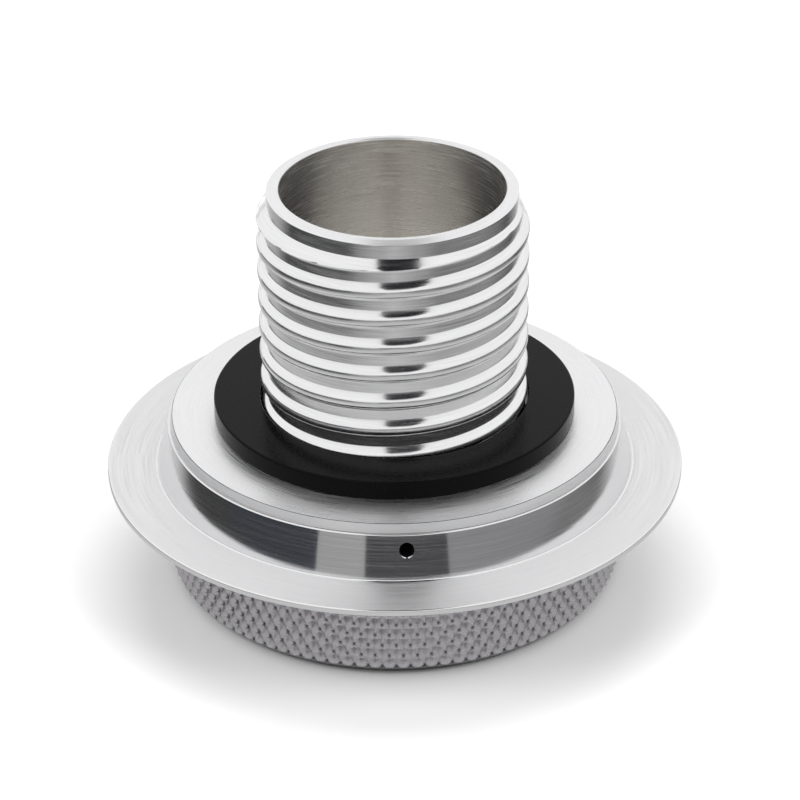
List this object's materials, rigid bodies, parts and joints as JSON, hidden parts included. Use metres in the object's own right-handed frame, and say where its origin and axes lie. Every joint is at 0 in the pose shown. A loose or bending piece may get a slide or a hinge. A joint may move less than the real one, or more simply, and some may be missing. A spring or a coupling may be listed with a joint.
{
  "type": "fuel cap",
  "caption": "Vented screw-in fuel cap with a knurled grip, wide thin flange, rubber gasket and a hollow neck with a coarse right-hand thread.",
  "frame": {"origin": "middle of the flat grip face on which the cap lies, neck upwards", "axes": "+Z along the neck towards its mouth, -Y towards the side with the vent hole"},
  "size_m": [0.084, 0.084, 0.0604],
  "materials": {
    "cap_aluminium": "fine turned satin",
    "gasket_rubber": "semi-matt moulded rubber",
    "valve_brass": "turned",
    "plunger_steel": "turned stainless steel"
  },
  "bodies": {
    "cap": {"cap_body": "cap_aluminium", "seal_gasket": "gasket_rubber", "vent_valve_body": "valve_brass"},
    "plunger": {"vent_plunger": "plunger_steel"}
  },
  "joints": [
    {"name": "vent_lift", "type": "slide", "parent": "cap", "child": "plunger", "axis": [0, 0, 1], "range_m": [0, 0.001]}
  ]
}
